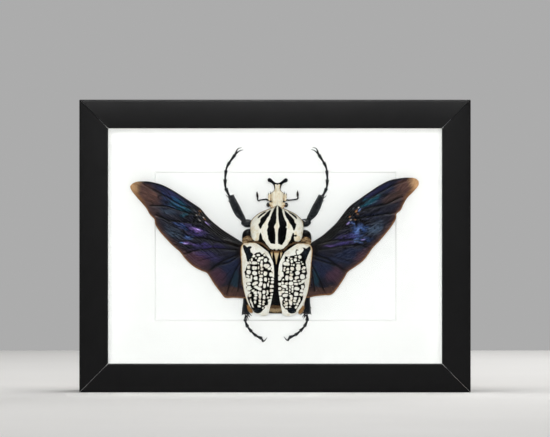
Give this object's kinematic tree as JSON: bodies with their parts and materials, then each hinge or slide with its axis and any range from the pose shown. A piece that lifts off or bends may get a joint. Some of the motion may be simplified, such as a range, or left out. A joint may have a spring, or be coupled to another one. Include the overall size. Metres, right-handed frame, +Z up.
{
  "type": "framed beetle specimen",
  "caption": "Dried white-and-black goliath beetle with its hind wings spread, mounted on white board behind glass in a black shadow-box frame.",
  "frame": {"origin": "middle of the bottom rail's underside, which is the bottom centre of the bounding box", "axes": "+X to the viewer's right along the frame's long side, +Y away from the viewer into the frame, +Z up"},
  "size_m": [0.246, 0.0524, 0.184],
  "materials": {
    "black_lacquer": "satin black lacquer",
    "clear_glass": "clear polished",
    "white_board": "matt white paper board",
    "brown_panel": "bare hardboard",
    "steel": "zinc-plated",
    "cream_shell": "velvety cream with black markings",
    "black_shell": "glossy blue-black chitin",
    "wing_skin": "dark iridescent membrane"
  },
  "bodies": {
    "root": {"back_panel": "brown_panel", "backing_board": "white_board", "frame_rail_bottom": "black_lacquer", "frame_rail_left": "black_lacquer", "frame_rail_right": "black_lacquer", "frame_rail_top": "black_lacquer", "glass_pane": "clear_glass", "hanger_nail_1": "steel", "hanger_nail_2": "steel", "head": "cream_shell", "left_antenna": "black_shell", "left_elytron": "cream_shell", "left_eye": "black_shell", "left_front_leg": "black_shell", "left_hind_leg": "black_shell", "left_hindwing": "wing_skin", "left_middle_leg": "black_shell", "pronotum": "cream_shell", "retaining_tab_1": "steel", "retaining_tab_2": "steel", "retaining_tab_3": "steel", "retaining_tab_4": "steel", "retaining_tab_5": "steel", "retaining_tab_6": "steel", "right_antenna": "black_shell", "right_elytron": "cream_shell", "right_eye": "black_shell", "right_front_leg": "black_shell", "right_hind_leg": "black_shell", "right_hindwing": "wing_skin", "right_middle_leg": "black_shell", "sawtooth_hanger": "steel", "scutellum": "cream_shell", "spacer_bottom": "white_board", "spacer_left": "white_board", "spacer_right": "white_board", "spacer_top": "white_board", "trunk": "black_shell", "window_mat": "white_board"}
  },
  "joints": []
}
